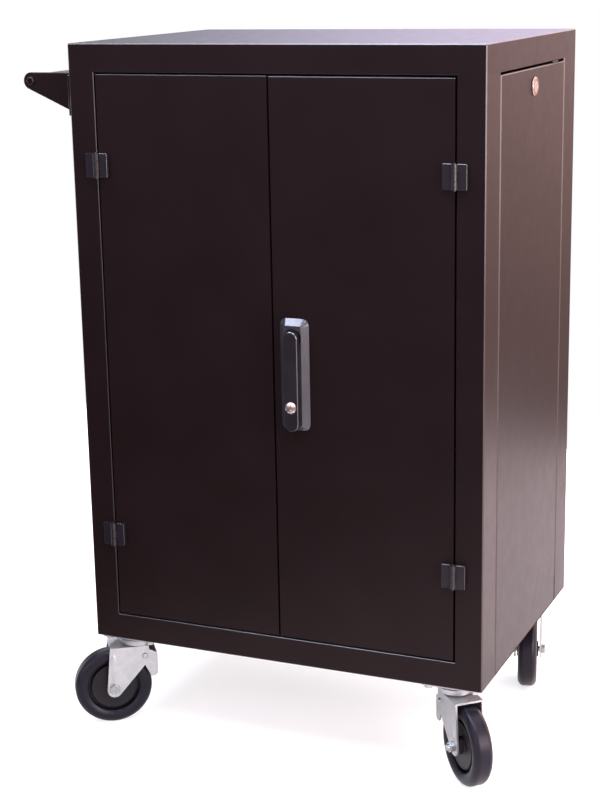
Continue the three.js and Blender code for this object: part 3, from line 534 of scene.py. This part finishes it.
def carcass():
    """Top cover, base pan and corner posts as one ground-flush weldment, edges softly bent in lighter
    paints as painted highlight, and the front posts' sides in a lighter copy of the paint as painted
    light.
    """
    names = (
        "top_cover", "base_pan",
        "post_front_left", "post_front_right", "post_rear_left", "post_rear_right",
    )
    builder = node_mesh(*names)
    for vertex in builder.verts:
        for level in (BASE_HIGH.z, TOP_LOW.z):
            if abs(vertex.co.z - level) < WELD_SEAM:
                vertex.co.z = level
    inner_x = HALF_WIDTH - POST_WIDTH
    inner_y = HALF_DEPTH - POST_DEPTH
    for axis, value in ((0, inner_x), (0, -inner_x), (1, inner_y), (1, -inner_y)):
        normal = Vector((axis == 0, axis == 1, 0))
        cut_through(builder, CENTRE + normal * value, normal)

    def on(value, plane):
        return abs(abs(value) - plane) < ON_PLANE

    def between_rails(point):
        return BASE_HIGH.z < point.z < TOP_LOW.z

    def middle_of(edge):
        return (edge.verts[0].co + edge.verts[1].co) / 2 - CENTRE

    def outer(edge):
        middle = middle_of(edge)
        on_x, on_y = on(middle.x, HALF_WIDTH), on(middle.y, HALF_DEPTH)
        on_z = on(middle.z, TOP_HIGH.z) or on(middle.z, BASE_LOW.z)
        return (on_x and on_y) or (on_z and (on_x or on_y))

    def window(edge, part):
        middle = middle_of(edge)
        on_x, on_y = on(middle.x, HALF_WIDTH), on(middle.y, HALF_DEPTH)
        if part == "level":
            level = on(middle.z, BASE_HIGH.z) or on(middle.z, TOP_LOW.z)
            return level and ((on_y and abs(middle.x) < inner_x) or (on_x and abs(middle.y) < inner_y))
        along = (edge.verts[0].co - edge.verts[1].co).normalized()
        upright = abs(along.z) > 0.9 and between_rails(middle)
        if part == "door_side":
            return upright and on_y and on(middle.x, inner_x)
        return upright and on_x and on(middle.y, inner_y)

    outside = [e for e in corner_edges(builder) if outer(e)]
    # The outer bends and window edges take lighter paints, a painted highlight.
    round_edges(builder, outside, OUTER_CHAMFER, 1, BEND)
    for part, chamfer, material in WINDOW_EDGES:
        edges = [e for e in corner_edges(builder) if window(e, part)]
        round_edges(builder, edges, chamfer, 1, material)
    # The front posts' sides take the lighter copy of the paint, painted light.
    for face in builder.faces:
        middle = face.calc_center_median() - CENTRE
        on_side = abs(face.normal.x) > 0.99 and on(middle.x, HALF_WIDTH)
        if on_side and middle.y < -inner_y and between_rails(middle):
            face.material_index = POST
    smooth(builder)
    keep_flat(builder)
    piece = new_piece(
        "carcass_weldment", builder, "cabinet", "cabinet_paint", finish["cabinet_paint"],
        edge_highlight_finish["cabinet_paint"], DOOR_EDGE_HIGHLIGHT, PANEL_EDGE_HIGHLIGHT, SILL_EDGE_HIGHLIGHT, POST_LIT_PAINT,
    )
    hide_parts(*names)


def doors():
    """Folded doors: plain soft edges, and a roll along the top in the lighter door edge paint, a painted
    highlight.
    """
    for name, roll in DOOR_ROLLS:
        builder = node_mesh(name)
        low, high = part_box(name)
        front = [
            e for e in corner_edges(builder) if all(abs(v.co.y - low[1]) < ON_PLANE for v in e.verts)
        ]
        upper = [e for e in front if all(abs(v.co.z - high[2]) < ON_PLANE for v in e.verts)]
        round_edges(builder, upper, roll, 1, 1)
        upright = [
            e for e in front if e.is_valid and abs(e.verts[0].co.z - e.verts[1].co.z) > DOOR_UPRIGHT
        ]
        round_edges(builder, upright, DOOR_SIDE_RADIUS)
        smooth(builder)
        keep_flat(builder)
        node_piece(name, builder, finish["cabinet_paint"], DOOR_EDGE_HIGHLIGHT)


def side_panels():
    for name, side in (("left_side_panel", -1), ("right_side_panel", 1)):
        face = CENTRE.x + side * HALF_WIDTH

        def on_face(edge):
            return all(abs(v.co.x - face) < ON_PLANE for v in edge.verts)

        # The panels' front chamfers take the lighter panel edge paint, a painted highlight.
        dress(name, PANEL_CHAMFER, 1, chosen=on_face, edge=PANEL_EDGE_HIGHLIGHT, sheet=True)


def hinge_leaf(name):
    """A thick butt leaf with its front edges chamfered in a lighter paint, a painted highlight, and its
    share of the barrel.
    """
    builder = node_mesh(name)
    forward = [f for f in builder.faces if f.normal.y < -0.99]
    plane = max(forward, key=lambda f: f.calc_area()).verts[0].co.y
    front = [e for e in corner_edges(builder) if all(abs(v.co.y - plane) < NEAR_LEAF for v in e.verts)]
    # The front chamfers take the lighter hinge edge paint, a painted highlight.
    round_edges(builder, front, HINGE_CHAMFER, 1, HINGE_HIGHLIGHT)
    for face in builder.faces:
        if face.calc_center_median().y < plane - HINGE_BARREL_PROUD:
            face.material_index = HINGE_ROLL
    smooth(builder, HINGE_SMOOTH)
    node_piece(name, builder, HINGE_PAINT, HINGE_EDGE_HIGHLIGHT, HINGE_BARREL)


def hinges():
    for kind in ("frame", "door"):
        for side in ("left", "right"):
            for row in ("lower", "upper"):
                hinge_leaf(f"hinge_{kind}_leaf_{side}_{row}")


def lock_plug():
    """The key plug with its face crowned, so that it catches the light along its upper rim."""
    builder = node_mesh("lock_plug")
    low, high = (Vector(corner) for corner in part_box("lock_plug"))
    middle = (low + high) / 2
    reach = (high.x - low.x) / 2
    for axis in (Vector((1, 0, 0)), Vector((0, 0, 1))):
        for step in range(1 - PLUG_CUTS, PLUG_CUTS):
            cut_through(builder, middle + axis * reach * step / PLUG_CUTS, axis)
    for vertex in builder.verts:
        if vertex.co.y - low.y < ON_PLANE:
            out = Vector((vertex.co.x - middle.x, vertex.co.z - middle.z)).length / reach
            vertex.co.y += PLUG_CROWN * out * out
    smooth(builder, TURNED_SMOOTH)
    node_piece("lock_plug", builder, finish["lock_metal"])


def swing_handle():
    """Housing, lever, spindle and plug on the right door, with the latch behind it and the left bolt."""
    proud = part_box("handle_housing")[1][1] - HOUSING_FOOT
    lever_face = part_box("handle_lever")[0][1]

    def off_the_door(edge):
        return all(v.co.y < proud for v in edge.verts) and edge.calc_length() > HOUSING_SHORT_EDGE

    def on_lever_face(edge):
        return all(abs(v.co.y - lever_face) < NEAR_LEVER for v in edge.verts)

    dress("handle_housing", HOUSING_ROUND, 4, chosen=off_the_door)
    dress("handle_lever", LEVER_CHAMFER, 1, chosen=on_lever_face)
    dress("handle_spindle", 0.4 * MM)
    lock_plug()
    for name in ("latch_cam", "upper_latch_rod", "lower_latch_rod"):
        dress(name, 0.4 * MM)
    dress("left_door_bolt", 0.5 * MM)


def handle_bracket(end, out):
    """A bracket plate with its edges and screw rim in the lighter door edge paint, a painted highlight,
    and a socket screw at its nose.
    """
    name = f"push_handle_bracket_{end}"
    builder = node_mesh(name)
    low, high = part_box("push_handle_tube")
    nose = Vector(((low[0] + high[0]) / 2, 0, (low[2] + high[2]) / 2))

    def on_screw(point):
        return Vector((point.x - nose.x, point.z - nose.z)).length < SCREW_RADIUS + SCREW_MARGIN

    def on_plate(edge):
        level = abs(edge.verts[0].co.y - edge.verts[1].co.y) < ON_PLANE
        clear = not any(on_screw(v.co) for v in edge.verts)
        return level and clear and edge.calc_length() > BRACKET_SHORT_EDGE

    heads = [
        f for f in builder.faces if f.normal.y * out > 0.9 and all(on_screw(v.co) for v in f.verts)
    ]
    rims = [e for f in heads for e in f.edges]
    plate = [e for e in corner_edges(builder) if on_plate(e)]
    round_edges(builder, plate, BRACKET_CHAMFER, 1, 1)
    round_edges(builder, [e for e in rims if e.is_valid], SCREW_ROUND, 3, 1)
    reach = max(v.co.y * out for v in builder.verts if on_screw(v.co))

    def on_crown(point):
        return on_screw(point) and reach - point.y * out < ON_PLANE

    crown = [
        f for f in builder.faces if f.normal.y * out > 0.99 and all(on_crown(v.co) for v in f.verts)
    ]
    bmesh.ops.inset_region(builder, faces=crown, thickness=SOCKET_RIM, depth=-SOCKET_DISH)
    bmesh.ops.inset_region(builder, faces=crown, thickness=SOCKET_TAPER, depth=-SOCKET_DEPTH)
    smooth(builder)
    keep_flat(builder)
    node_piece(name, builder, finish["cabinet_paint"], DOOR_EDGE_HIGHLIGHT)


def push_handle():
    handle_bracket("front", -1)
    handle_bracket("rear", 1)
    dress("push_handle_tube", 0.6 * MM)


def blocks(name, boxes, material, slot):
    """Upright boxes on the cabinet, each a low and a high corner, as one piece."""
    builder = bmesh.new()
    for low, high in boxes:
        middle = (Vector(low) + Vector(high)) / 2
        size = Vector(high) - Vector(low)
        bmesh.ops.create_cube(builder, matrix=Matrix.Translation(middle) @ Matrix.Diagonal((*size, 1)))
    new_piece(name, builder, "cabinet", slot, material)


def power_details():
    """Outlets down the power strip, with near-black blocks of painted shade for their slots, and the
    blades in the inlet.
    """
    low, high = (Vector(corner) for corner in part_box("power_strip"))
    face = low.y
    middle = (low.x + high.x) / 2
    half_x, half_z = OUTLET_HALF
    plates, slots = [], []
    for row in range(OUTLETS):
        z = low.z + (OUTLET_FIRST + row * OUTLET_PITCH) * MM
        plates.append((
            (middle - half_x, face - OUTLET_PROUD, z - half_z),
            (middle + half_x, face + OUTLET_SUNK, z + half_z),
        ))
        for x, tall, lift in OUTLET_SLOTS:
            slots.append((
                (middle + x - SLOT_HALF, face - SLOT_PROUD, z + lift - tall),
                (middle + x + SLOT_HALF, face - SLOT_SUNK, z + lift + tall),
            ))
    blocks("power_strip_outlets", plates, finish["black_plastic"], "black_plastic")
    # The slots are near-black blocks laid on the outlet faces, painted shade.
    blocks("power_strip_slots", slots, SLOT_PAINTED_SHADE, "black_plastic")
    low, high = (Vector(corner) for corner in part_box("power_inlet"))
    middle = (low + high) / 2
    pins = []
    for x, lift in INLET_PINS:
        root = Vector((middle.x + x, high.y - PIN_ROOT, middle.z + lift))
        pins.append((root - PIN_LOW, root + PIN_HIGH))
    blocks("power_inlet_pins", pins, finish["zinc_plate"], "zinc_plate")


def inside_and_back():
    power_details()
    for name in ("lower_laptop_tray", "upper_laptop_tray", "power_partition"):
        dress(name, 0.3 * MM, 1)
    for name in ("power_strip", "power_inlet", "power_switch"):
        dress(name, 0.8 * MM)
    dress("back_panel", 0.5 * MM, 1)


def panel_lock():
    # The lock's rounded rim takes the lighter rim metal, a painted highlight.
    dress("panel_lock_body", 1.0 * MM, 3, LOCK_FACE, edge=LOCK_RIM_HIGHLIGHT)
    dress("panel_lock_cam", 0.3 * MM)


def wheel(node, half_section, place, angle):
    """A tyre or hub turned from half a section and its mirror image."""
    builder = bmesh.new()
    section = list(half_section) + [(r, -y) for r, y in reversed(half_section)]
    turn_shape(builder, section, place)
    smooth(builder, angle)
    node_piece(node, builder, finish[slot_of_node[node]])


def pin_heads(corner):
    """Domed heads on the brake pedal's pivot pin, just outside both fork legs, turning with it."""
    builder = bmesh.new()
    for side in (-1, 1):
        place = axis_frame(f"brake_{corner}", side, FORK_HALF + PIN_HEAD_GAP)
        turn_shape(builder, PIN_HEAD_SECTION, place, PIN_HEAD_SEGMENTS)
    smooth(builder, PIN_HEAD_SMOOTH)
    body = body_of_node[f"brake_pedal_{corner}"]
    new_piece(f"brake_rivets_{corner}", builder, body, "zinc_plate", BOLT_ZINC)


def fork(corner, place):
    """Pressed fork: rounded shoulders where the crown turns into the legs, and a rib down each leg."""
    name = f"caster_fork_{corner}"
    into = place.inverted()
    builder = node_mesh(name)

    def on_shoulder(edge):
        ends = [into @ v.co for v in edge.verts]
        outside = all(abs(abs(p.y) - FORK_HALF) < NEAR_LEG for p in ends)
        return outside and min(p.z for p in ends) > FORK_SHOULDER_LOW

    def on_leg(edge):
        below = max((into @ v.co).z for v in edge.verts) < LEG_TOP
        return below and edge.calc_length() > LEG_SHORT_EDGE

    shoulders = [e for e in corner_edges(builder) if on_shoulder(e)]
    round_edges(builder, shoulders, FORK_SHOULDER, 4)
    legs = [e for e in corner_edges(builder, FORK_CORNER_ANGLE) if on_leg(e)]
    round_edges(builder, legs, FORK_CHAMFER, 1)
    for side in (-1, 1):
        rows = []
        for height, half in RIB_ROWS:
            lift = RIB_RISE * min(1.0, half / RIB_FULL_RISE)
            rows.append([
                builder.verts.new(
                    place @ Vector((half * x * MM, side * (FORK_HALF - RIB_SUNK + rise * lift), height))
                )
                for x, rise in RIB_SECTION
            ])
        for lower, upper in zip(rows, rows[1:]):
            for i in range(len(lower)):
                j = (i + 1) % len(lower)
                builder.faces.new((lower[i], lower[j], upper[j], upper[i]))
        builder.faces.new(rows[0])
        builder.faces.new(rows[-1])
    bmesh.ops.recalc_face_normals(builder, faces=builder.faces)
    smooth(builder, FORK_SMOOTH)
    node_piece(name, builder, finish["zinc_plate"])


def casters():
    for corner in CORNERS:
        place = axis_frame(f"roll_{corner}")
        wheel(f"tyre_{corner}", TYRE_HALF_SECTION, place, TURNED_SMOOTH)
        wheel(f"wheel_hub_{corner}", HUB_HALF_SECTION, place, HUB_SMOOTH)
        fork(corner, place)
        dress(f"caster_axle_{corner}", 0.9 * MM, material=BOLT_ZINC)
        dress(f"caster_plate_{corner}", 0.5 * MM)
        if corner.startswith("front"):
            dress(f"brake_pedal_{corner}", 0.7 * MM)
            pin_heads(corner)


def floor():
    """Plain pale ground that glows a little, so that the shadow on it stays faint."""
    m = Material("pale_floor")
    drift = m.noise(scale=1.2, detail=4)
    m.feed("Base Color", m.ramp(drift, (0.3, (0.44, 0.44, 0.44)), (0.7, (0.46, 0.46, 0.46))))
    m.set(Roughness=0.7, Specular_IOR_Level=0.2, Emission_Color=(1, 1, 1, 1), Emission_Strength=0.6)
    builder = bmesh.new()
    builder.faces.new([builder.verts.new((x, y, 0)) for x, y in FLOOR_OUTLINE])
    mesh = bpy.data.meshes.new("studio_floor")
    builder.to_mesh(mesh)
    builder.free()
    mesh.materials.append(m.material)
    piece = bpy.data.objects.new("studio_floor", mesh)
    bpy.context.scene.collection.objects.link(piece)


def area_light(name, place, target, size, radiance, colour, spread=180, mirrored=True):
    """A softbox of the given size whose face shines with the given radiance, spread in degrees."""
    data = bpy.data.lights.new(name, "AREA")
    data.shape = "RECTANGLE"
    data.size, data.size_y = size
    data.energy = radiance * math.pi * size[0] * size[1]
    data.color = colour
    data.spread = math.radians(spread)
    light = bpy.data.objects.new(name, data)
    light.location = place
    aim = Vector(target) - Vector(place)
    light.rotation_euler = aim.to_track_quat("-Z", "Y").to_euler()
    light.visible_camera = False
    light.visible_glossy = mirrored
    bpy.context.scene.collection.objects.link(light)


def lights():
    area_light(
        "overhead", place=(0.0, -0.2, 3.6), target=(0, -0.2, 0),
        size=(4.0, 3.4), radiance=3.2, colour=(0.97, 0.97, 1),
    )
    area_light(
        "top_key", place=(-1.1, -0.9, 3.3), target=(0.15, -0.22, 0.75),
        size=(0.9, 0.9), radiance=0.8, colour=(0.68, 0.80, 1), spread=24,
    )
    area_light(
        "edge_key", place=(-0.4, -0.35, 3.3), target=(0.25, -0.24, 1.09),
        size=(0.7, 0.7), radiance=1.0, colour=(0.70, 0.82, 1), spread=30,
    )
    area_light(
        "front_pool", place=(0.9, -1.5, 3.2), target=(0.45, -0.7, 0),
        size=(0.9, 0.9), radiance=8.0, colour=(0.90, 0.92, 1), spread=100,
    )
    area_light(
        "back_wash", place=(-0.8, 3.9, 3.3), target=(-0.8, 4.2, 0),
        size=(9.0, 3.2), radiance=5.0, colour=(0.88, 0.94, 1),
    )
    area_light(
        "left_low", place=(-2.8, 0.2, 0.8), target=(0, 0, 0.05),
        size=(1.8, 1.0), radiance=2.6, colour=(0.95, 0.94, 1),
    )
    area_light(
        "right_floor", place=(1.7, 1.6, 2.2), target=(1.3, 1.6, 0),
        size=(1.8, 2.4), radiance=17.4, colour=(1, 0.61, 0.68), mirrored=False,
    )
    area_light(
        "right_strip", place=(3.1, -1.2, 1.25), target=(0.3, -0.3, 0.6),
        size=(2.6, 1.7), radiance=12.6, colour=(1, 0.93, 0.92),
    )


def world():
    """White to the eye; as a light, it glows ahead, cool behind and warm on the right."""
    scene_world = bpy.data.worlds.new("studio")
    bpy.context.scene.world = scene_world
    scene_world.use_nodes = True
    tree = scene_world.node_tree
    white = tree.nodes["Background"]
    white.inputs["Color"].default_value = (1, 1, 1, 1)
    direction = tree.nodes.new("ShaderNodeTexCoord").outputs["Generated"]
    split = tree.nodes.new("ShaderNodeSeparateXYZ")
    tree.links.new(direction, split.inputs[0])

    def glow(towards, start, full, dim, bright, rise):
        """Light around a direction, whose strength rises with height as a map range says."""
        along = tree.nodes.new("ShaderNodeVectorMath")
        along.operation = "DOT_PRODUCT"
        along.inputs[1].default_value = Vector(towards).normalized()
        tree.links.new(direction, along.inputs[0])
        ramp = tree.nodes.new("ShaderNodeValToRGB")
        stops = zip(ramp.color_ramp.elements, (start, full), (dim, bright))
        for element, position, colour in stops:
            element.position = position
            element.color = (*colour, 1)
        tree.links.new(along.outputs["Value"], ramp.inputs["Fac"])
        shine = tree.nodes.new("ShaderNodeBackground")
        tree.links.new(ramp.outputs["Color"], shine.inputs["Color"])
        climb = tree.nodes.new("ShaderNodeMapRange")
        for socket, value in zip(("From Min", "From Max", "To Min", "To Max"), rise):
            climb.inputs[socket].default_value = value
        tree.links.new(split.outputs["Z"], climb.inputs["Value"])
        tree.links.new(climb.outputs["Result"], shine.inputs["Strength"])
        return shine.outputs["Background"]

    def added(first, second):
        node = tree.nodes.new("ShaderNodeAddShader")
        tree.links.new(first, node.inputs[0])
        tree.links.new(second, node.inputs[1])
        return node.outputs["Shader"]

    dark = (0.0, 0.0, 0.0)
    cool = glow(
        towards=(-0.17, 0.98, 0), start=0.93, full=1.0,
        dim=(0.10, 0.09, 0.11), bright=(3.65, 3.30, 5.00), rise=(-0.10, 0.0, 0.2, 1.0),
    )
    warm = glow(
        towards=(0.8, 0.6, 0), start=0.2, full=0.95,
        dim=dark, bright=(1.62, 1.05, 0.92), rise=(-0.24, -0.02, 0.22, 1.75),
    )
    ahead = glow(
        towards=(-0.2, -0.97, 0), start=0.5, full=0.98,
        dim=dark, bright=(3.75, 3.10, 3.65), rise=(-0.05, 0.10, 0.0, 1.0),
    )
    light = added(added(cool, warm), ahead)
    mix = tree.nodes.new("ShaderNodeMixShader")
    seen = tree.nodes.new("ShaderNodeLightPath").outputs["Is Camera Ray"]
    tree.links.new(seen, mix.inputs["Fac"])
    tree.links.new(light, mix.inputs[1])
    tree.links.new(white.outputs["Background"], mix.inputs[2])
    tree.links.new(mix.outputs["Shader"], tree.nodes["World Output"].inputs["Surface"])


carcass()
doors()
side_panels()
hinges()
swing_handle()
push_handle()
panel_lock()
inside_and_back()
casters()
floor()
lights()
world()
add_camera()
bpy.context.scene.view_settings.view_transform = "Standard"
